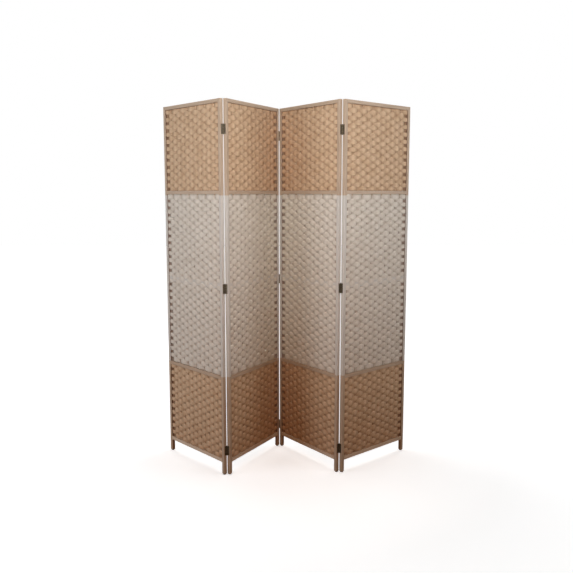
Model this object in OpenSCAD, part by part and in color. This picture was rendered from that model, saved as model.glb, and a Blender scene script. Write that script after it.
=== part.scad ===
/* [Panel] */
// Width of one panel over its two stiles
panel_w = 444; // [380:2:520]
// Height of a panel from the floor to the top of its stiles
panel_h = 1700; // [1500:10:1900]
// Width of a stile, seen from the front
stile_w = 16; // [15:0.5:24]
// Depth of the stiles and rails, front to back
stile_d = 16; // [15:0.5:22]
// Radius of the long edges of the stiles and rails
edge_r = 1; // [0.8:0.1:2.5]

/* [Rails] */
// Height of the top, cross and bottom rails
rail_h = 16; // [12:0.5:24]
// Height of the underside of the bottom rail above the floor
foot_h = 58; // [40:1:80]
// Clear height of the cell between the top rail and the upper cross rail
top_cell_h = 380; // [300:5:440]
// Clear height of the cell between the lower cross rail and the bottom rail
low_cell_h = 376; // [300:5:440]
// Height of the thin slat that hides inside the middle weave
slat_h = 24; // [16:1:40]
// Thickness of that slat
slat_t = 7; // [6.6:0.1:8.4]
// Distance of the slat's centre above the middle of the middle cell
slat_rise = 3; // [0:1:40]
// Diameter of the round tenons at the ends of the rails
tenon_d = 8; // [6:0.5:9]
// Diameter of the round tenons at the ends of the slat
slat_tenon_d = 6; // [5:0.5:6.5]
// Length of the rails' tenons
tenon_l = 9; // [6:0.5:10]
// Length of the slat's short tenons, which end before the screws of the middle hinges
slat_tenon_l = 4; // [2:0.5:4]

/* [Weave] */
// Thickness of the woven mats over their ridges
mat_t = 13; // [12.4:0.1:14.4]
// Depth of the groove between two rows of the weave
row_groove = 1.6; // [0.8:0.1:1.9]
// Target height of one woven row
row_h = 17.1; // [14:0.1:22]
// Diameter of the upright stakes that the rows pass over and under
stake_d = 5; // [4:0.1:5.4]
// Distance between the centres of neighbouring stakes
stake_pitch = 33; // [28:0.5:40]
// Least distance from the outermost stakes to the stiles
stake_margin = 6; // [4:0.5:8]
// Depth of the blind holes that hold the stakes in the top and bottom rails
stake_seat = 8; // [5:0.5:10]

/* [Folds] */
// Heading of the first panel from the X axis, in degrees
lead_angle = -47.3; // [-60:0.1:-20]
// Angle between panels 1 and 2, behind the first fold, in degrees
fold_1_angle = 72.9; // [60:0.1:110]
// Angle between panels 2 and 3, in front of the second fold, in degrees
fold_2_angle = 67.1; // [60:0.1:110]
// Angle between panels 3 and 4, behind the third fold, in degrees
fold_3_angle = 85.6; // [60:0.1:110]
// Gap between two neighbouring stiles when the panels are in one line
fold_gap = 2.2; // [2:0.1:4]
// Distance of a hinge pin's axis outside the faces of the stiles
pin_out = 0.4; // [0.3:0.1:1.2]

/* [Hinges] */
// Height of a hinge
hinge_h = 44; // [36:1:60]
// Reach of a hinge leaf from the pin's axis across the stile's side
leaf_w = 12; // [11:0.5:15]
// Thickness of a hinge leaf
leaf_t = 0.9; // [0.6:0.1:1]
// Outer diameter of a hinge barrel
barrel_d = 5; // [4.4:0.1:5.6]
// Diameter of a hinge pin
pin_d = 2; // [1.6:0.1:2.2]
// Diameter of the round heads on a hinge pin
pin_head_d = 2.6; // [2.4:0.1:2.8]
// Height of the heads on a hinge pin
pin_head_h = 1.2; // [0.8:0.1:2]
// Distance from the top of a panel down to the centre of its top hinges
top_hinge_drop = 130; // [80:5:200]
// Height of the centre of the middle hinges above the floor
mid_hinge_z = 868; // [800:1:900]
// Height of the centre of the low hinges above the floor
low_hinge_z = 115; // [110:1:180]

/* [Screws] */
// Diameter of a hinge screw's shank
screw_d = 2.6; // [2:0.1:3]
// Length of a hinge screw over its head
screw_l = 11; // [8:0.5:11.5]
// Diameter of a hinge screw's countersunk head
screw_head_d = 4.8; // [4.2:0.1:5.2]
// Distance between the two screws of one leaf
screw_gap = 26; // [20:0.5:30]
// Distance of the screws from the pin's axis across the leaf
screw_reach = 7.5; // [6.5:0.5:8]
// Width of the slot in a screw's head
slot_w = 0.7; // [0.5:0.1:1]
// Depth of the slot in a screw's head
slot_depth = 0.5; // [0.3:0.1:0.8]

/* [Feet] */
// Diameter of the glide under a stile
glide_d = 14; // [10:0.5:14.5]
// Height of the glide's disc
glide_h = 4; // [3:0.5:8]
// Diameter of the peg that holds the glide
glide_peg_d = 4; // [3:0.2:6]
// Length of that peg
glide_peg_l = 14; // [8:1:20]

/* [Clearances] */
// Radial clearance of stakes, tenons, screws and pegs in their holes
seat_gap = 0.1; // [0.05:0.05:0.3]
// Clearance between a mat and the frame, slat and stakes
mat_gap = 0.3; // [0.2:0.05:0.6]
// Radial running clearance of a hinge pin in its knuckles
pin_gap = 0.05; // [0.02:0.01:0.1]
// Clearance between neighbouring knuckles, and round them
knuckle_gap = 0.25; // [0.15:0.05:0.4]

/* [Hidden] */
$fn = 48;

natural_wood = "#c4a684";
natural_weave = "#b9946e";
ivory_weave = "#cdc5bb";
peeled_stake = "#c39a6b";
bronze = "#4a3f30";
glide_grey = "#55524e";

PANELS = [1, 2, 3, 4];
FOLDS = [1, 2, 3];
PANEL_PIECES = ["left_stile", "right_stile", "top_rail", "cross_rails", "middle_slat", "bottom_rail",
    "upper_weave", "middle_weave", "lower_weave", "stakes", "glides", "hinge_screws"];
FOLD_PIECES = ["left_leaves", "right_leaves", "pins"];
NODES = concat(
    [for (i = PANELS) for (piece = PANEL_PIECES) str("panel_", i, "_", piece)],
    [for (k = FOLDS) for (piece = FOLD_PIECES) str("fold_", k, "_", piece)]);
node = "all";

// Levels of the frame, each named by the underside of its piece
bottom_rail_z = foot_h;
lower_rail_z = bottom_rail_z + rail_h + low_cell_h;
top_rail_z = panel_h - rail_h;
upper_rail_z = top_rail_z - top_cell_h - rail_h;
middle_cell_mid = (lower_rail_z + rail_h + upper_rail_z) / 2;
slat_z = middle_cell_mid + slat_rise - slat_h / 2;
rail_levels = [for (z = [bottom_rail_z, lower_rail_z, upper_rail_z, top_rail_z]) z + rail_h / 2];
slat_level = slat_z + slat_h / 2;

// A panel's own frame has its left back edge at the origin and its front towards -Y
mid_y = -stile_d / 2;
clear_w = panel_w - 2 * stile_w;
stakes_each_side = floor((clear_w / 2 - stake_margin) / stake_pitch);
stake_xs = [for (k = [-stakes_each_side:stakes_each_side]) panel_w / 2 + k * stake_pitch];
stake_bottom = bottom_rail_z + rail_h - stake_seat + seat_gap;
stake_top = top_rail_z + stake_seat - seat_gap;
row_ramp = 0.2;

// The folds: the second one opens to the front, the other two open to the back
function is_front_fold(k) = k == 2;
fold_angles = [fold_1_angle, fold_2_angle, fold_3_angle];
function heading(i) = i == 1 ? lead_angle
    : heading(i - 1) + (is_front_fold(i - 1) ? -1 : 1) * (180 - fold_angles[i - 2]);
function spin(p, a) = [p[0] * cos(a) - p[1] * sin(a), p[0] * sin(a) + p[1] * cos(a)];
function axis_y(k) = is_front_fold(k) ? -stile_d - pin_out : pin_out;
function axis_on_left(k) = [panel_w + fold_gap / 2, axis_y(k)];
function axis_on_right(k) = [-fold_gap / 2, axis_y(k)];
function start(i) = i == 1 ? [0, 0]
    : start(i - 1) + spin(axis_on_left(i - 1), heading(i - 1)) - spin(axis_on_right(i - 1), heading(i));

// The four panels together are centred on the origin by the round edges of their outer corners
corner_xs = [edge_r, panel_w - edge_r];
corner_ys = [-edge_r, edge_r - stile_d];
corners = [for (i = PANELS) for (x = corner_xs) for (y = corner_ys) start(i) + spin([x, y], heading(i))];
all_x = [for (p = corners) p[0]];
all_y = [for (p = corners) p[1]];
middle = [(min(all_x) + max(all_x)) / 2, (min(all_y) + max(all_y)) / 2];

hinge_levels = [low_hinge_z, mid_hinge_z, panel_h - top_hinge_drop];
knuckle_h = hinge_h / 3;
barrel_r = barrel_d / 2;
face_x = -fold_gap / 2;
function has_left_fold(i) = i > 1;
function has_right_fold(i) = i < 4;

// Puts a panel's own frame where that panel stands
module place(i) {
    at = start(i) - middle;
    translate([at[0], at[1], 0]) rotate([0, 0, heading(i)]) children();
}

// Puts a fold's pin on the Z axis, with the stile of the panel on its left at -X and -Y
module on_left_of(k) {
    translate([axis_on_left(k)[0], axis_y(k), 0])
        if (is_front_fold(k)) mirror([0, 1, 0]) children();
        else children();
}

// The same for the panel on the fold's right
module on_right_of(k) {
    translate([axis_on_right(k)[0], axis_y(k), 0]) mirror([1, 0, 0])
        if (is_front_fold(k)) mirror([0, 1, 0]) children();
        else children();
}

module rounded_rect(w, h, r) {
    translate([r, 0]) square([w - 2 * r, h]);
    translate([0, r]) square([w, h - 2 * r]);
    for (x = [r, w - r]) for (y = [r, h - r]) translate([x, y]) circle(r);
}

// A round hole or peg along +X, starting at the given point
module along_x(x, y, z, d, l) {
    translate([x, y, z]) rotate([0, 90, 0]) cylinder(d = d, h = l);
}

module screw_levels() {
    for (z = hinge_levels) for (side = [-1, 1]) translate([0, 0, z + side * screw_gap / 2]) children();
}

// What a fold's hinges need in the stile beside them: screw holes, and room for the barrels
module hinge_seats() {
    hole_l = screw_l - leaf_t + seat_gap;
    screw_levels() along_x(face_x - hole_l, -screw_reach, 0, screw_d + 2 * seat_gap, hole_l + 1);
    for (z = hinge_levels) translate([0, 0, z - hinge_h / 2 - knuckle_gap])
        cylinder(r = barrel_r + knuckle_gap, h = hinge_h + 2 * knuckle_gap);
}

// The hole for a tenon in the inner side of a left stile
module tenon_hole(z, d, l) {
    along_x(stile_w - l - seat_gap, mid_y, z, d + 2 * seat_gap, l + seat_gap + 1);
}

// A left stile: its inner side faces +X
module stile() {
    peg_hole = glide_peg_l + seat_gap;
    difference() {
        translate([0, -stile_d, glide_h])
            linear_extrude(panel_h - glide_h) rounded_rect(stile_w, stile_d, edge_r);
        for (z = rail_levels) tenon_hole(z, tenon_d, tenon_l);
        tenon_hole(slat_level, slat_tenon_d, slat_tenon_l);
        translate([stile_w / 2, mid_y, glide_h - 1]) cylinder(d = glide_peg_d + 2 * seat_gap, h = peg_hole + 1);
    }
}

module left_stile(i) {
    color(natural_wood) difference() {
        stile();
        if (has_left_fold(i)) on_right_of(i - 1) hinge_seats();
    }
}

module right_stile(i) {
    color(natural_wood) difference() {
        translate([panel_w, 0, 0]) mirror([1, 0, 0]) stile();
        if (has_right_fold(i)) on_left_of(i) hinge_seats();
    }
}

module stake_holes(from_z, to_z) {
    for (x = stake_xs)
        translate([x, mid_y, from_z]) cylinder(d = stake_d + 2 * seat_gap, h = to_z - from_z);
}

// A bar between the stiles, with a round tenon at each end
module bar(z, h, t, r, peg_d, peg_l) {
    translate([stile_w, mid_y - t / 2, z])
        rotate([90, 0, 90]) linear_extrude(clear_w) rounded_rect(t, h, r);
    for (x = [stile_w, panel_w - stile_w]) along_x(x - peg_l, mid_y, z + h / 2, peg_d, 2 * peg_l);
}

module rail(z) {
    bar(z, rail_h, stile_d, edge_r, tenon_d, tenon_l);
}

module top_rail() {
    color(natural_wood) difference() {
        rail(top_rail_z);
        stake_holes(top_rail_z - 1, top_rail_z + stake_seat);
    }
}

module bottom_rail() {
    color(natural_wood) difference() {
        rail(bottom_rail_z);
        stake_holes(bottom_rail_z + rail_h - stake_seat, bottom_rail_z + rail_h + 1);
    }
}

module cross_rails() {
    color(natural_wood) for (z = [lower_rail_z, upper_rail_z]) difference() {
        rail(z);
        stake_holes(z - 1, z + rail_h + 1);
    }
}

module middle_slat() {
    color(natural_wood) difference() {
        bar(slat_z, slat_h, slat_t, edge_r, slat_tenon_d, slat_tenon_l);
        stake_holes(slat_z - 1, slat_z + slat_h + 1);
    }
}

// The mat's section: one ridge for each woven row on both faces, with a groove between rows
module row_ridges(h) {
    rows = 2 * round(h / row_h / 2);
    ridge_h = h / rows;
    ramp_h = ridge_h * row_ramp;
    front_line = [for (k = [0:rows - 1]) for (at = [[row_groove, 0], [0, ramp_h], [0, ridge_h - ramp_h]])
        [at[0], k * ridge_h + at[1]]];
    last = len(front_line) - 1;
    back_line = [for (k = [last:-1:0]) [mat_t - front_line[k][0], front_line[k][1]]];
    polygon(concat(front_line, [[row_groove, h], [mat_t - row_groove, h]], back_line));
}

// A woven mat that fills the cell from one level to another
module weave_mat(from_z, to_z) {
    low = from_z + mat_gap;
    high = to_z - mat_gap;
    difference() {
        translate([stile_w + mat_gap, mid_y - mat_t / 2, low])
            rotate([90, 0, 90]) linear_extrude(clear_w - 2 * mat_gap) row_ridges(high - low);
        for (x = stake_xs)
            translate([x, mid_y, low - 1]) cylinder(d = stake_d + 2 * mat_gap, h = high - low + 2);
    }
}

module upper_weave() {
    color(natural_weave) weave_mat(upper_rail_z + rail_h, top_rail_z);
}

module lower_weave() {
    color(natural_weave) weave_mat(bottom_rail_z + rail_h, lower_rail_z);
}

// The middle mat runs over both faces of the slat, which lies in a slot through it
module middle_weave() {
    slot_t = slat_t + 2 * mat_gap;
    slot_h = slat_h + 2 * mat_gap;
    color(ivory_weave) difference() {
        weave_mat(lower_rail_z + rail_h, upper_rail_z);
        translate([0, mid_y - slot_t / 2, slat_z - mat_gap]) cube([panel_w, slot_t, slot_h]);
    }
}

module stakes() {
    color(peeled_stake) for (x = stake_xs)
        translate([x, mid_y, stake_bottom]) cylinder(d = stake_d, h = stake_top - stake_bottom);
}

module glides() {
    color(glide_grey) for (x = [stile_w / 2, panel_w - stile_w / 2]) translate([x, mid_y, 0]) {
        cylinder(d = glide_d, h = glide_h);
        cylinder(d = glide_peg_d, h = glide_h + glide_peg_l);
    }
}

// A countersunk screw through a leaf into the stile, its head flush with the leaf
module screw() {
    difference() {
        rotate([0, 90, 0]) {
            translate([0, 0, face_x + leaf_t - screw_l]) cylinder(d = screw_d, h = screw_l - leaf_t / 2);
            translate([0, 0, face_x]) cylinder(d1 = screw_d, d2 = screw_head_d, h = leaf_t);
        }
        translate([face_x + leaf_t - slot_depth, -slot_w / 2, -screw_head_d])
            cube([slot_depth + 1, slot_w, 2 * screw_head_d]);
    }
}

module leaf_screws() {
    screw_levels() translate([0, -screw_reach, 0]) screw();
}

module hinge_screws(i) {
    color(bronze) {
        if (has_left_fold(i)) on_right_of(i - 1) leaf_screws();
        if (has_right_fold(i)) on_left_of(i) leaf_screws();
    }
}

// One leaf of a hinge with its own knuckles; outer is true for the leaf with the end knuckles
module leaf(outer) {
    own = outer ? [0, 2] : [1];
    other = outer ? [1] : [0, 2];
    countersink = leaf_t + 2 * seat_gap;
    difference() {
        union() {
            translate([face_x, -leaf_w, 0]) cube([leaf_t, leaf_w, hinge_h]);
            for (k = own) translate([0, 0, k * knuckle_h]) cylinder(r = barrel_r, h = knuckle_h);
        }
        for (k = other) translate([0, 0, k * knuckle_h - knuckle_gap])
            cylinder(r = barrel_r + knuckle_gap, h = knuckle_h + 2 * knuckle_gap);
        translate([0, 0, -1]) cylinder(d = pin_d + 2 * pin_gap, h = hinge_h + 2);
        for (side = [-1, 1]) translate([face_x, -screw_reach, hinge_h / 2 + side * screw_gap / 2])
            rotate([0, 90, 0]) {
                translate([0, 0, -1]) cylinder(d = screw_d + 2 * seat_gap, h = countersink + 1);
                cylinder(d1 = screw_d + 2 * seat_gap, d2 = screw_head_d + 2 * seat_gap, h = leaf_t);
            }
    }
}

module leaves(outer) {
    color(bronze) for (z = hinge_levels) translate([0, 0, z - hinge_h / 2]) leaf(outer);
}

// A hinge pin with a head above and below its barrel
module pin() {
    translate([0, 0, -hinge_h / 2]) cylinder(d = pin_d, h = hinge_h);
    for (z = [-hinge_h / 2 - pin_head_h, hinge_h / 2])
        translate([0, 0, z]) cylinder(d = pin_head_d, h = pin_head_h);
}

module pins() {
    color(bronze) for (z = hinge_levels) translate([0, 0, z]) pin();
}

// True when the piece of that name is asked for
function wanted(group, number, piece) = node == "all" || node == str(group, number, "_", piece);

for (i = PANELS) {
    if (wanted("panel_", i, "left_stile")) place(i) left_stile(i);
    if (wanted("panel_", i, "right_stile")) place(i) right_stile(i);
    if (wanted("panel_", i, "top_rail")) place(i) top_rail();
    if (wanted("panel_", i, "cross_rails")) place(i) cross_rails();
    if (wanted("panel_", i, "middle_slat")) place(i) middle_slat();
    if (wanted("panel_", i, "bottom_rail")) place(i) bottom_rail();
    if (wanted("panel_", i, "upper_weave")) place(i) upper_weave();
    if (wanted("panel_", i, "middle_weave")) place(i) middle_weave();
    if (wanted("panel_", i, "lower_weave")) place(i) lower_weave();
    if (wanted("panel_", i, "stakes")) place(i) stakes();
    if (wanted("panel_", i, "glides")) place(i) glides();
    if (wanted("panel_", i, "hinge_screws")) place(i) hinge_screws(i);
}
for (k = FOLDS) {
    if (wanted("fold_", k, "left_leaves")) place(k) on_left_of(k) leaves(true);
    if (wanted("fold_", k, "right_leaves")) place(k + 1) on_right_of(k) leaves(false);
    if (wanted("fold_", k, "pins")) place(k) on_left_of(k) pins();
}
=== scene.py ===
"""The woven folding screen: paper rope over and under stakes, in slim hinged wooden frames."""
import math
import bpy
import numpy as np
from mathutils import Matrix, Vector


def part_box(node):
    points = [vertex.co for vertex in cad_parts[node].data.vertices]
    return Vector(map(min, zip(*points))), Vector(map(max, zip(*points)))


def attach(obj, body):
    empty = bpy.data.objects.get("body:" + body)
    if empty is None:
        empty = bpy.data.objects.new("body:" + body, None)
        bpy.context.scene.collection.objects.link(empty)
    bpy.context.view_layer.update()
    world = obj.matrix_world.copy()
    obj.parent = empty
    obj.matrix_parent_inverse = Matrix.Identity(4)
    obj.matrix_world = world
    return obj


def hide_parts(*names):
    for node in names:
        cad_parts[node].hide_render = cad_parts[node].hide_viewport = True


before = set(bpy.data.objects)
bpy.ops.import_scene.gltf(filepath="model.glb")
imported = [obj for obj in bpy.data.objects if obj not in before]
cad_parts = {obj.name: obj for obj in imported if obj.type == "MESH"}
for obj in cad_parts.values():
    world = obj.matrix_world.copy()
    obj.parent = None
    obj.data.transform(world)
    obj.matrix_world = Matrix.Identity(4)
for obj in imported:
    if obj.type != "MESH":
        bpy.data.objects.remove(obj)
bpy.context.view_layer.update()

PANELS = (1, 2, 3, 4)
FOLDS = (1, 2, 3)

# The frame's sizes, as the CAD model has them
STILE_W = 0.016
RAIL_H = 0.016
STAKE_PITCH = 0.033
STAKES = 13
EDGE_STAKE = STAKE_PITCH * (STAKES - 1) / 2  # from a panel's middle to an outermost stake
ROW_H = 0.0171

# The rope: a band that is pressed flat and wide where it passes a stake, and thicker between two
# stakes. It is pulled tight round the outermost stakes, where every second row leaves a dark gap
ROPE_T = 0.0040  # thickness at a stake
ROPE_LOOSE_T = 0.0084  # and between two
ROPE_SWING = 0.0045  # how far its middle passes in front of a stake's middle, or behind it
ROPE_TIGHTNESS = 2.8  # the power of the swing's cosine: above 1 its crests are narrow,
EDGE_TIGHTNESS = 0.75  # and below 1, at the outermost stakes, they are broad
ROPE_WRAP = 0.0052  # how far it reaches round an outermost stake
END_TURN = math.radians(62)  # how far round that stake it turns
ROPE_OVERLAP = 1.12  # its width between two stakes, as a share of a row's height
PILLOW = 0.38  # how much wider it is on a stake
EDGE_PILLOW = 0.08  # and on an outermost one, and at its ends
PILLOW_POWER = 0.7  # how fast it widens towards a stake
PILLOW_RECESS = 0.0012  # how far a crest's rims lie behind its middle
SECTION_POWER = 6  # how square its section is

# What chance adds at each stake, as a share of the width and thickness, and as a height
WIDTH_CHANCE = 0.07
THICK_CHANCE = 0.08
LIFT_CHANCE = 0.0003
CHANCE_POWER = 1.5  # how fast it fades away from the stake

# The points of a row: along it between two stakes, along each end, and across its front
STEPS_PER_STAKE = 7
WRAP_STEPS = 3
FRONT_POINTS = 8

# The rope's painted shades
GAP_SLOPE = 2  # how fast painted shade darkens it as it swings behind a stake
FLANK_SHADE_SLOPE = 1.15  # and how fast the painted shade on its flanks fades as it swings out to a crest
EDGE_GAP = 0.020  # the width of the gaps at the outermost stakes that painted shade darkens
INNER_SHADE = 0.38  # the share of that painted shade in the inner stakes' gaps, and on the inner stakes, beside those

# How the rope's pattern moves from row to row, and between the two faces of a row
ROW_SHIFT = 0.1
FACE_SHIFT = 0.01

# The rows and the rails: the slit between them, and the gaps that the photograph shows
RAIL_SLIT = 0.0003
TOP_GAP = 0.0025
MIDDLE_GAPS = (0.006, 0.007)
SEEDS_PER_PANEL = 10

# The heights at which the stiles change from natural to ivory and back
IVORY_TOP = 1.283
IVORY_LOW = 0.464

# The painted shade on the inner sides of the stiles, where the weave meets them: its reach from the
# panel's middle plane, and how far into the wood it is taken, so that it covers the surface
PAINTED_SHADE_DEPTH = 0.0062
PAINTED_SHADE_SKIN = 0.0003

NATURAL = (0.64, 0.46, 0.305)
NATURAL_DEEP = (0.44, 0.28, 0.158)
NATURAL_TINT = (0.73, 0.55, 0.385)
IVORY = (0.68, 0.625, 0.55)
IVORY_DEEP = (0.52, 0.45, 0.37)
IVORY_TINT = (0.72, 0.67, 0.60)
BARE_LIGHT = (0.46, 0.345, 0.25)
BARE_DARK = (0.34, 0.24, 0.16)
FOOT_LIGHT = (0.66, 0.53, 0.41)
FOOT_DARK = (0.52, 0.40, 0.29)
IVORY_LIGHT = (0.56, 0.52, 0.475)
IVORY_DARK = (0.48, 0.435, 0.385)
# The colour that the painted shades darken towards
GAP_SHADE = (0.15, 0.055, 0.018)
BRONZE = (0.12, 0.09, 0.055)
BRONZE_DARK = (0.05, 0.038, 0.022)
BRONZE_WORN = (0.22, 0.17, 0.10)
GLIDE_LIGHT = (0.16, 0.13, 0.105)
GLIDE_DARK = (0.09, 0.075, 0.06)
WHITE = (1.0, 1.0, 1.0)

# How deep the painted shade on a rope is beside its crests, behind a stake, and, in red, green and blue,
# in a fold
NATURAL_DEPTHS = (0.21, 0.57, (0.12, 0.28, 0.38))
IVORY_DEPTHS = (0.10, 0.50, (0, 0.02, 0.08))
GAP_DEPTH = 0.62  # how deep the painted shade on the stiles and stakes is in the weave's gaps
FOLD_SHADE_REACH = 0.3  # how far away another piece still paints shade on the rope

# How fine the patterns are, in features a metre: along the three axes, or in every direction
ROPE_FIBRES = (260, 900, 260)
UPRIGHT_GRAIN = (320, 320, 9)
LEVEL_GRAIN = (9, 320, 320)
STICK_GRAIN = (500, 500, 14)
ROPE_CREASES = 70
ROPE_PATCHES = 26
ROPE_CLOUDS = 3.5
BRONZE_WEAR = 220
GLIDE_SCUFFS = 300

# How much of the rope's second colour each pattern brings in
FIBRE_DEPTH = 0.35
CREASE_DEPTH = 0.16
CLOUD_DEPTH = 0.12

# The bumps, as (height in metres, strength)
ROPE_RELIEF = (0.0006, 0.7)
WOOD_RELIEF = (0.0004, 0.35)
STICK_RELIEF = (0.0004, 0.4)
FINE_RELIEF = (0.0002, 0.3)

CAMERA_AT = (-0.0010, -3.2697, 1.2895)
CAMERA_PITCH = math.radians(7.585)
LENS = 43.643
SENSOR = 36.0

# The floor reaches this far each way, and glows more and more between two distances from its middle
FLOOR_REACH = 14.0
GLOW_NEAR = 1.0
GLOW_FAR = 2.6


def stile_middles(i):
    boxes = [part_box(f"panel_{i}_{side}_stile") for side in ("left", "right")]
    return [(low + high) / 2 for low, high in boxes]


def panel_matrix(i):
    """A panel's own frame: X along it, Y to its back, with the origin on the floor at its middle."""
    left, right = stile_middles(i)
    along = (right - left).normalized()
    back = Vector((-along.y, along.x, 0))
    place = Matrix((along, back, Vector((0, 0, 1)))).transposed().to_4x4()
    place.translation = ((left.x + right.x) / 2, (left.y + right.y) / 2, 0)
    return place


def clear_width(i):
    """The width between a panel's stiles."""
    left, right = stile_middles(i)
    return (right - left).length - STILE_W


# Materials

def shader(name):
    """A new material with its node tree, links and principled shader."""
    mat = bpy.data.materials.new(name)
    mat.use_nodes = True
    tree = mat.node_tree
    return mat, tree.nodes, tree.links, tree.nodes["Principled BSDF"]


def node(nodes, kind, **values):
    """A new node with its settings."""
    made = nodes.new(kind)
    for key, value in values.items():
        setattr(made, key, value)
    return made


def tune(made, **values):
    """Sets a node's inputs. An underscore stands for a space in an input's name."""
    for key, value in values.items():
        made.inputs[key.replace("_", " ")].default_value = value


def object_place(nodes):
    return nodes.new("ShaderNodeTexCoord").outputs["Object"]


def attribute(nodes, name, output="Fac"):
    return node(nodes, "ShaderNodeAttribute", attribute_name=name).outputs[output]


def ramp(nodes, links, source, stops):
    """A colour ramp over a value, from (position, colour) stops."""
    made = nodes.new("ShaderNodeValToRGB")
    elements = made.color_ramp.elements
    while len(elements) < len(stops):
        elements.new(0.5)
    for element, (position, color) in zip(elements, stops):
        element.position = position
        element.color = (*color, 1)
    links.new(source, made.inputs["Fac"])
    return made.outputs["Color"]


def mix(nodes, links, fac, a, b):
    """Mixes two colours; fac, a and b are values or sockets."""
    made = node(nodes, "ShaderNodeMix", data_type="RGBA")
    for socket, value in ((made.inputs["Factor"], fac), (made.inputs["A"], a), (made.inputs["B"], b)):
        if isinstance(value, bpy.types.NodeSocket):
            links.new(value, socket)
        elif isinstance(value, (int, float)):
            socket.default_value = value
        else:
            socket.default_value = (*value, 1)
    return made.outputs["Result"]


def calc(nodes, links, operation, a, b=0.0):
    """A calculation with one or two values or sockets."""
    made = node(nodes, "ShaderNodeMath", operation=operation)
    for socket, value in zip(made.inputs, (a, b)):
        if isinstance(value, bpy.types.NodeSocket):
            links.new(value, socket)
        else:
            socket.default_value = value
    return made.outputs["Value"]


def veil(nodes, links, share, depth, body, color):
    """Mixes a colour into body: by depth where share is 1, and less where it is less."""
    return mix(nodes, links, calc(nodes, links, "MULTIPLY", share, depth), body, color)


def noise(nodes, links, vector, scale, detail=2.0, roughness=0.5):
    made = nodes.new("ShaderNodeTexNoise")
    tune(made, Scale=scale, Detail=detail, Roughness=roughness)
    links.new(vector, made.inputs["Vector"])
    return made.outputs["Fac"]


def stretched_noise(nodes, links, source, scale, detail, turn=0.0):
    """Noise over coordinates that are turned about Z and then stretched."""
    spin = node(nodes, "ShaderNodeVectorRotate", rotation_type="Z_AXIS")
    tune(spin, Angle=turn)
    links.new(source, spin.inputs["Vector"])
    made = node(nodes, "ShaderNodeVectorMath", operation="MULTIPLY")
    made.inputs[1].default_value = scale
    links.new(spin.outputs["Vector"], made.inputs[0])
    return noise(nodes, links, made.outputs["Vector"], 1, detail, 0.6)


def bump(nodes, links, height, relief, bsdf):
    """Gives a surface its relief, from a value that says how high each point lies."""
    distance, strength = relief
    made = nodes.new("ShaderNodeBump")
    tune(made, Distance=distance, Strength=strength)
    links.new(height, made.inputs["Height"])
    links.new(made.outputs["Normal"], bsdf.inputs["Normal"])


def painted_fold_shade(nodes, links, body, depths):
    """Paints shade into a colour by how much of its surroundings other pieces hide, as they do deep in a
    fold.
    """
    hidden = []
    for own_only in (True, False):
        sky = node(nodes, "ShaderNodeAmbientOcclusion", samples=2, only_local=own_only)
        tune(sky, Distance=FOLD_SHADE_REACH)
        hidden.append(sky.outputs["AO"])
    tint = node(nodes, "ShaderNodeVectorMath", operation="MULTIPLY_ADD")
    links.new(calc(nodes, links, "SUBTRACT", *hidden), tint.inputs[0])
    tint.inputs[1].default_value = [-depth for depth in depths]
    tint.inputs[2].default_value = WHITE
    made = node(nodes, "ShaderNodeVectorMath", operation="MULTIPLY")
    links.new(body, made.inputs[0])
    links.new(tint.outputs["Vector"], made.inputs[1])
    return made.outputs["Vector"]


def rope_creases(nodes, links, band):
    """Creases that run slantwise over the band."""
    made = node(nodes, "ShaderNodeTexWave", wave_type="BANDS", bands_direction="DIAGONAL")
    tune(made, Scale=ROPE_CREASES, Distortion=6, Detail=3, Detail_Scale=1.2)
    links.new(band, made.inputs["Vector"])
    return made.outputs["Fac"]


def rope_material(name, light, deep, tint, depths):
    """Twisted paper with creases, fibres and a little colour variation.

    depths says how deep its painted shade is beside the crests, behind a stake and in a fold.
    """
    mat, nodes, links, bsdf = shader(name)
    flank_shade_depth, gap_depth, fold_shade_depths = depths
    band, place = attribute(nodes, "band", "Vector"), object_place(nodes)
    creases = rope_creases(nodes, links, band)
    fibres = stretched_noise(nodes, links, band, ROPE_FIBRES, 3)
    patches = noise(nodes, links, place, ROPE_PATCHES, 3, 0.55)
    clouds = noise(nodes, links, place, ROPE_CLOUDS, 2)
    body = ramp(nodes, links, patches, [(0.05, deep), (0.5, light), (0.95, tint)])
    for share, depth, color in (
        (fibres, FIBRE_DEPTH, deep),
        (creases, CREASE_DEPTH, deep),
        (clouds, CLOUD_DEPTH, tint),
        # Painted shade on the flanks away from the crests, and behind the stakes
        (attribute(nodes, "flank_shade"), flank_shade_depth, GAP_SHADE),
        (attribute(nodes, "shade"), gap_depth, GAP_SHADE),
    ):
        body = veil(nodes, links, share, depth, body, color)
    # Painted shade in the folds between panels
    links.new(painted_fold_shade(nodes, links, body, fold_shade_depths), bsdf.inputs["Base Color"])
    tune(bsdf, Roughness=0.7, Specular_IOR_Level=0.15)
    height = calc(nodes, links, "ADD", creases, calc(nodes, links, "MULTIPLY", fibres, 0.6))
    bump(nodes, links, height, ROPE_RELIEF, bsdf)
    return mat


def wood_color(nodes, links, place, scale, turn, light, dark):
    """The grain and the colour of wood."""
    grain = stretched_noise(nodes, links, place, scale, 4, turn)
    return grain, ramp(nodes, links, grain, [(0.3, dark), (0.55, light), (0.8, light)])


def finish_wood(nodes, links, bsdf, color, grain):
    links.new(color, bsdf.inputs["Base Color"])
    tune(bsdf, Roughness=0.5, Specular_IOR_Level=0.4)
    bump(nodes, links, grain, WOOD_RELIEF, bsdf)


def in_ivory(nodes, links, place):
    """1 at the heights of the ivory stretch, and 0 above and below it."""
    parts = nodes.new("ShaderNodeSeparateXYZ")
    links.new(place, parts.inputs[0])
    above = calc(nodes, links, "GREATER_THAN", parts.outputs["Z"], IVORY_LOW)
    below = calc(nodes, links, "LESS_THAN", parts.outputs["Z"], IVORY_TOP)
    return calc(nodes, links, "MULTIPLY", above, below)


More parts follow.
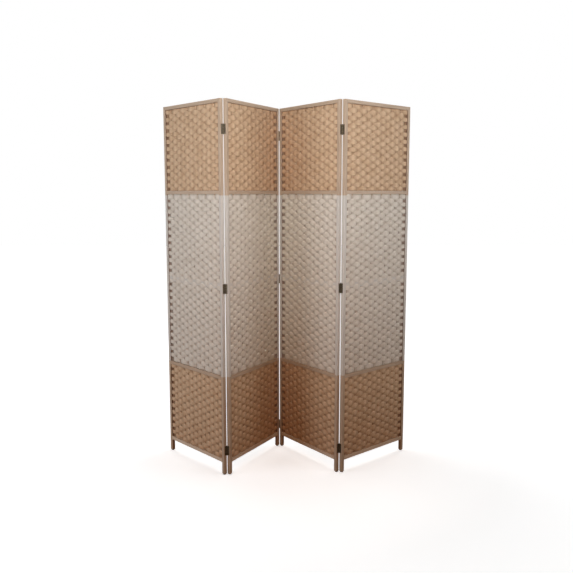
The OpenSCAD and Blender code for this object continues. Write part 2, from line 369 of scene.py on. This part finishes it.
def panel_reach(nodes, links, place, i, axis):
    """How far a point lies from a panel's middle: along the panel for axis 0, to its back for axis 1."""
    home = panel_matrix(i)
    direction = home.col[axis].xyz
    product = node(nodes, "ShaderNodeVectorMath", operation="DOT_PRODUCT")
    links.new(place, product.inputs[0])
    product.inputs[1].default_value = direction
    reach = calc(nodes, links, "SUBTRACT", product.outputs["Value"], direction.dot(home.translation))
    return calc(nodes, links, "ABSOLUTE", reach)


def stile_material(i):
    """A stile: natural wood, its middle stretch painted ivory, with painted shade where the weave meets
    it.
    """
    mat, nodes, links, bsdf = shader(f"stile_wood_{i}")
    place = object_place(nodes)
    grain, bare = wood_color(nodes, links, place, UPRIGHT_GRAIN, 0, BARE_LIGHT, BARE_DARK)
    paint = ramp(nodes, links, grain, [(0.25, IVORY_DARK), (0.6, IVORY_LIGHT)])
    body = mix(nodes, links, in_ivory(nodes, links, place), bare, paint)
    along, deep = (panel_reach(nodes, links, place, i, axis) for axis in (0, 1))
    inside = calc(nodes, links, "LESS_THAN", along, clear_width(i) / 2 + PAINTED_SHADE_SKIN)
    covered = calc(nodes, links, "LESS_THAN", deep, PAINTED_SHADE_DEPTH)
    # Painted shade on the inner sides, where the weave covers them
    painted_shade = calc(nodes, links, "MULTIPLY", inside, covered)
    finish_wood(nodes, links, bsdf, veil(nodes, links, painted_shade, GAP_DEPTH, body, GAP_SHADE), grain)
    return mat


def rail_material(name, turn, light, dark):
    """Wood whose grain runs along a rail that is turned about Z."""
    mat, nodes, links, bsdf = shader(name)
    grain, color = wood_color(nodes, links, object_place(nodes), LEVEL_GRAIN, turn, light, dark)
    finish_wood(nodes, links, bsdf, color, grain)
    return mat


def stake_material(i):
    """Peeled sticks dyed with their rope, under painted shade: deep on the two at the edges of a panel,
    lighter on the rest.
    """
    mat, nodes, links, bsdf = shader(f"stake_wood_{i}")
    place = object_place(nodes)
    grain = stretched_noise(nodes, links, place, STICK_GRAIN, 4)
    bare = ramp(nodes, links, grain, [(0.3, NATURAL_DEEP), (0.6, NATURAL)])
    dyed = ramp(nodes, links, grain, [(0.3, IVORY_DEEP), (0.6, IVORY)])
    inner = mix(nodes, links, in_ivory(nodes, links, place), bare, dyed)
    inner_half = STAKE_PITCH * (STAKES - 2) / 2
    at_edge = calc(nodes, links, "GREATER_THAN", panel_reach(nodes, links, place, i, 0), inner_half)
    # Painted shade: full on the outermost stakes, and INNER_SHADE's share on the others
    dark = calc(nodes, links, "MAXIMUM", at_edge, INNER_SHADE)
    links.new(veil(nodes, links, dark, GAP_DEPTH, inner, GAP_SHADE), bsdf.inputs["Base Color"])
    tune(bsdf, Roughness=0.75)
    bump(nodes, links, grain, STICK_RELIEF, bsdf)
    return mat


def bronze_material():
    """Dark bronzed steel, worn a little lighter and duller in patches."""
    mat, nodes, links, bsdf = shader("hinge_bronze")
    wear = noise(nodes, links, object_place(nodes), BRONZE_WEAR, 4, 0.6)
    color = ramp(nodes, links, wear, [(0.35, BRONZE_DARK), (0.6, BRONZE), (0.8, BRONZE_WORN)])
    links.new(color, bsdf.inputs["Base Color"])
    tune(bsdf, Metallic=0.6)
    roughness = calc(nodes, links, "ADD", calc(nodes, links, "MULTIPLY", wear, 0.3), 0.25)
    links.new(roughness, bsdf.inputs["Roughness"])
    bump(nodes, links, wear, FINE_RELIEF, bsdf)
    return mat


def glide_material():
    """Grey-brown plastic with fine scuffs."""
    mat, nodes, links, bsdf = shader("glide_plastic")
    scuffs = noise(nodes, links, object_place(nodes), GLIDE_SCUFFS, 3, 0.6)
    color = ramp(nodes, links, scuffs, [(0.3, GLIDE_DARK), (0.7, GLIDE_LIGHT)])
    links.new(color, bsdf.inputs["Base Color"])
    tune(bsdf, Roughness=0.6)
    bump(nodes, links, scuffs, FINE_RELIEF, bsdf)
    return mat


# The woven bands

def row_path(side, half):
    """The line of one row's middle: round the first stake, over and under the rest, round the last.

    side is 1 where the row starts in front. Returns x, y, how far each point lies to the front, and
    how much wider the rope is there.
    """
    phase = np.linspace(0, math.pi * (STAKES - 1), STEPS_PER_STAKE * (STAKES - 1) + 1)
    x = -EDGE_STAKE + STAKE_PITCH * phase / math.pi
    stake = np.round((x + EDGE_STAKE) / STAKE_PITCH)
    at_edge = (stake == 0) | (stake == STAKES - 1)
    out = np.cos(phase)
    out = np.sign(out) * np.abs(out) ** np.where(at_edge, EDGE_TIGHTNESS, ROPE_TIGHTNESS)
    pillow = np.where(at_edge, EDGE_PILLOW, PILLOW) * np.abs(out) ** PILLOW_POWER
    turn = np.linspace(END_TURN, 0, WRAP_STEPS + 1)[:-1]
    wrap = min(ROPE_WRAP, half - EDGE_STAKE - ROPE_T / 2)
    x = np.concatenate([-EDGE_STAKE - wrap * np.sin(turn), x, EDGE_STAKE + wrap * np.sin(turn[::-1])])
    out = np.concatenate([np.cos(turn), out, np.cos(turn[::-1])])
    pillow = np.pad(pillow, WRAP_STEPS, constant_values=EDGE_PILLOW)
    return x, -side * ROPE_SWING * out, side * out, pillow


def row_section(x, out, pillow, rng):
    """How many times wider the rope is, half its thickness and its lift, with chance at each stake."""
    stake = np.clip(np.round((x + EDGE_STAKE) / STAKE_PITCH), 0, STAKES - 1).astype(int)
    share = np.abs(out) ** CHANCE_POWER
    swell = 1 + pillow * (1 + WIDTH_CHANCE * rng.standard_normal(STAKES)[stake])
    thick = ROPE_LOOSE_T / 2 + (ROPE_T - ROPE_LOOSE_T) / 2 * np.abs(out)
    thick *= 1 + THICK_CHANCE * rng.standard_normal(STAKES)[stake] * share
    lift = LIFT_CHANCE * rng.standard_normal(STAKES)[stake] * share
    return swell, thick, lift


def tube_faces(count, n):
    """The faces of a closed tube of count rings with n points each."""
    faces = [(i * n + k, (i + 1) * n + k, (i + 1) * n + (k + 1) % n, i * n + (k + 1) % n)
             for i in range(count - 1) for k in range(n)]
    return faces + [tuple(range(n)), tuple(range((count - 1) * n, count * n))[::-1]]


def row_mesh(side, z, up, down, half, rng):
    """One row's points, pattern coordinates, painted shade behind the stakes, painted shade on the
    flanks, and faces.

    up and down are its reach on a side that lies against a rail, and None on the others.
    """
    x, y, out, pillow = row_path(side, half)
    count = len(x)
    tangent = np.stack([np.gradient(x), np.gradient(y)], 1)
    tangent /= np.linalg.norm(tangent, axis=1)[:, None]
    normal = np.stack([tangent[:, 1], -tangent[:, 0]], 1)
    swell, thick, lift = row_section(x, out, pillow, rng)
    base = ROW_H / 2 * ROPE_OVERLAP
    reach_up = base * swell if up is None else np.full(count, up)
    reach_down = base * swell if down is None else np.full(count, down)
    # How strong the painted shade behind a stake is: full at the outermost stakes, a share farther in
    edge = np.clip((np.abs(x) - EDGE_STAKE + EDGE_GAP / 2) / (EDGE_GAP / 4), INNER_SHADE, 1)
    length = np.concatenate([[0], np.cumsum(np.hypot(np.diff(x), np.diff(y)))])
    across = np.cos(np.linspace(0, math.pi, FRONT_POINTS))
    ring = [(s, 1) for s in across] + [(s, -1) for s in across[-2:0:-1]]
    points, band = np.zeros((2, count, len(ring), 3))
    shade, flank_shade = np.zeros((2, count, len(ring)))
    for k, (s, face) in enumerate(ring):
        bulge = face * thick * (1 - abs(s) ** SECTION_POWER) ** 0.5
        recess = PILLOW_RECESS * out * s * s
        points[:, k, 0] = x + normal[:, 0] * bulge
        points[:, k, 1] = y + normal[:, 1] * bulge + recess
        points[:, k, 2] = z + lift + np.where(s > 0, reach_up, reach_down) * s
        band[:, k, 0] = length
        band[:, k, 1] = s * base + ROW_SHIFT * z
        band[:, k, 2] = face * FACE_SHIFT + z
        # Painted shade where the rope swings behind a stake
        shade[:, k] = edge * np.clip(-GAP_SLOPE * face * out, 0, 1)
        # Painted shade on the flanks, fading out towards the crests
        flank_shade[:, k] = 1 - np.clip(FLANK_SHADE_SLOPE * face * out, 0, 1)
    faces = tube_faces(count, len(ring))
    return points.reshape(-1, 3), band.reshape(-1, 3), shade.ravel(), flank_shade.ravel(), faces


def band_rows(i, low, high, gap_low, gap_high, seed):
    """The rows between two rails, from the top down. The gaps lie between the rails and the rows."""
    rng = np.random.default_rng(seed)
    half = clear_width(i) / 2
    rows = 2 * round((high - low) / ROW_H / 2)
    pitch = (high - low - gap_low - gap_high) / rows
    made = []
    for k in range(rows):
        z = high - gap_high - (k + 0.5) * pitch
        up = pitch / 2 + gap_high - RAIL_SLIT if k == 0 else None
        down = pitch / 2 + gap_low - RAIL_SLIT if k == rows - 1 else None
        made.append(row_mesh(1 if k % 2 == 0 else -1, z, up, down, half, rng))
    return made


def woven_band(name, i, rows, mat):
    """Joins the rows into one object, in its panel's place."""
    points, bands, shades, flank_shades, row_faces = zip(*rows)
    faces, start = [], 0
    for own_points, own_faces in zip(points, row_faces):
        faces += [tuple(start + f for f in face) for face in own_faces]
        start += len(own_points)
    mesh = bpy.data.meshes.new(name)
    mesh.from_pydata(np.concatenate(points).tolist(), [], faces)
    for key, kind, part, values in (
        ("band", "FLOAT_VECTOR", "vector", bands),
        ("shade", "FLOAT", "value", shades),
        ("flank_shade", "FLOAT", "value", flank_shades),
    ):
        layer = mesh.attributes.new(key, kind, "POINT")
        layer.data.foreach_set(part, np.concatenate(values).astype(np.float32).ravel())
    mesh.polygons.foreach_set("use_smooth", [True] * len(mesh.polygons))
    mesh.transform(panel_matrix(i))
    mesh.materials.append(mat)
    mesh.update()
    return add_object(name, mesh)


def add_object(name, data):
    made = bpy.data.objects.new(name, data)
    bpy.context.scene.collection.objects.link(made)
    return made


def weave(i, natural, ivory):
    """The three woven bands of a panel, each in place of its CAD slab."""
    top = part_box(f"panel_{i}_top_rail")[0].z
    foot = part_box(f"panel_{i}_bottom_rail")[1].z
    cross_low, cross_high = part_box(f"panel_{i}_cross_rails")
    cells = [
        ("upper", cross_high.z, top, 0.0, TOP_GAP, natural),
        ("middle", cross_low.z + RAIL_H, cross_high.z - RAIL_H, *MIDDLE_GAPS, ivory),
        ("lower", foot, cross_low.z, 0.0, 0.0, natural),
    ]
    for number, (cell, low, high, gap_low, gap_high, mat) in enumerate(cells):
        rows = band_rows(i, low, high, gap_low, gap_high, SEEDS_PER_PANEL * i + number)
        piece = woven_band(f"panel_{i}_{cell}_rope", i, rows, mat)
        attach(piece, f"panel_{i}")
        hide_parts(f"panel_{i}_{cell}_weave")


def dress(name, mat):
    """Gives a CAD node its finish."""
    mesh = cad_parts[name].data
    mesh.materials.clear()
    mesh.materials.append(mat)


def dress_panel(i, bronze, glide):
    heading = panel_matrix(i).to_euler().z
    rail = rail_material(f"rail_wood_{i}", -heading, BARE_LIGHT, BARE_DARK)
    slat = rail_material(f"slat_wood_{i}", -heading, IVORY_LIGHT, IVORY_DARK)
    foot = rail_material(f"foot_rail_wood_{i}", -heading, FOOT_LIGHT, FOOT_DARK)
    stile = stile_material(i)
    for piece, mat in (
        ("left_stile", stile),
        ("right_stile", stile),
        ("top_rail", rail),
        ("cross_rails", rail),
        ("bottom_rail", foot),
        ("middle_slat", slat),
        ("stakes", stake_material(i)),
        ("glides", glide),
        ("hinge_screws", bronze),
    ):
        dress(f"panel_{i}_{piece}", mat)


def dress_frames():
    """Gives every CAD node that stays in sight its finish."""
    bronze, glide = bronze_material(), glide_material()
    for i in PANELS:
        dress_panel(i, bronze, glide)
    for k in FOLDS:
        for piece in ("left_leaves", "right_leaves", "pins"):
            dress(f"fold_{k}_{piece}", bronze)


# The studio

def make_camera():
    camera = add_object("camera", bpy.data.cameras.new("camera"))
    camera.data.lens = LENS
    camera.data.sensor_width = SENSOR
    camera.location = CAMERA_AT
    camera.rotation_euler = (math.pi / 2 - CAMERA_PITCH, 0, 0)
    bpy.context.scene.camera = camera


def make_lamp(name, at, target, size, power, spread=180, color=WHITE):
    """A round soft box. Its spread in degrees says how far its light fans out."""
    lamp = bpy.data.lights.new(name, "AREA")
    lamp.shape = "DISK"
    lamp.size = size
    lamp.energy = power
    lamp.color = color
    lamp.spread = math.radians(spread)
    piece = add_object(name, lamp)
    piece.location = at
    piece.rotation_euler = (Vector(target) - Vector(at)).to_track_quat("-Z", "Y").to_euler()


def make_world(strength, color):
    """Even soft light, with plain white where the camera, a gloss or a clear surface sees past it."""
    world = bpy.data.worlds.new("studio")
    bpy.context.scene.world = world
    world.use_nodes = True
    nodes, links = world.node_tree.nodes, world.node_tree.links
    background = nodes["Background"]
    path = nodes.new("ShaderNodeLightPath")
    seen = calc(nodes, links, "MAXIMUM", path.outputs["Is Camera Ray"], path.outputs["Is Glossy Ray"])
    seen = calc(nodes, links, "MAXIMUM", seen, path.outputs["Is Transmission Ray"])
    lift = calc(nodes, links, "MULTIPLY", seen, 1 - strength)
    links.new(calc(nodes, links, "ADD", lift, strength), background.inputs["Strength"])
    links.new(mix(nodes, links, seen, color, WHITE), background.inputs["Color"])


def floor_material(paper, bounce, near_glow, far_glow):
    """Matt paper with a glow that only the camera sees."""
    mat, nodes, links, bsdf = shader("floor_paper")
    seen = nodes.new("ShaderNodeLightPath").outputs["Is Camera Ray"]
    links.new(mix(nodes, links, seen, bounce, paper), bsdf.inputs["Base Color"])
    tune(bsdf, Roughness=0.9, Specular_IOR_Level=0.0, Emission_Color=(*WHITE, 1))
    reach = node(nodes, "ShaderNodeVectorMath", operation="LENGTH")
    links.new(object_place(nodes), reach.inputs[0])
    glow = nodes.new("ShaderNodeMapRange")
    tune(glow, From_Min=GLOW_NEAR, From_Max=GLOW_FAR, To_Min=near_glow, To_Max=far_glow)
    links.new(reach.outputs["Value"], glow.inputs["Value"])
    strength = calc(nodes, links, "MULTIPLY", seen, glow.outputs["Result"])
    links.new(strength, bsdf.inputs["Emission Strength"])
    return mat


def make_floor(paper, bounce, near_glow, far_glow):
    """A pale floor that looks white to the camera outside the screen's soft shadow.

    paper is its colour as the camera sees it, and bounce the warmer colour that it throws back. The
    glows are what it gives off to the camera, near the screen and far from it.
    """
    r = FLOOR_REACH
    mesh = bpy.data.meshes.new("floor")
    mesh.from_pydata([(-r, -r, 0), (r, -r, 0), (r, r, 0), (-r, r, 0)], [], [(0, 1, 2, 3)])
    mesh.materials.append(floor_material(paper, bounce, near_glow, far_glow))
    add_object("floor", mesh)


def make_studio():
    make_camera()
    make_world(strength=0.085, color=(1.0, 0.70, 0.45))
    make_floor(paper=(0.88, 0.92, 0.95), bounce=(0.34, 0.19, 0.09), near_glow=0.54, far_glow=1.0)
    make_lamp("key", (0.0, -2.2, 1.75), (0, 0, 1.95), size=1.5, power=13, spread=85)
    make_lamp("left_window", (-2.6, -1.0, 0.85), (-0.4, 0, 0.75), size=1.8, power=27.5,
              color=(0.93, 1.0, 1.1))
    make_lamp("right_window", (2.6, -0.85, 1.5), (0.4, 0, 1.6), size=1.8, power=9.2, spread=110,
              color=(0.96, 1.0, 1.06))
    make_lamp("low_glow", (0.0, -1.9, 2.1), (0, 0, 0.25), size=1.0, power=0.8, spread=45,
              color=(1.0, 0.42, 0.12))
    make_lamp("left_back", (-2.0, 2.2, 1.5), (-0.2, 0, 1.0), size=1.8, power=20)
    make_lamp("right_back", (2.0, 2.2, 1.5), (0.2, 0, 1.0), size=1.8, power=20)
    make_lamp("ceiling", (0, 0.3, 3.4), (0, 0.05, 1.7), size=1.6, power=7, spread=75)
    bpy.context.scene.view_settings.view_transform = "Standard"


make_studio()
natural_rope = rope_material("natural_rope", NATURAL, NATURAL_DEEP, NATURAL_TINT, NATURAL_DEPTHS)
ivory_rope = rope_material("ivory_rope", IVORY, IVORY_DEEP, IVORY_TINT, IVORY_DEPTHS)
for panel in PANELS:
    weave(panel, natural_rope, ivory_rope)
dress_frames()
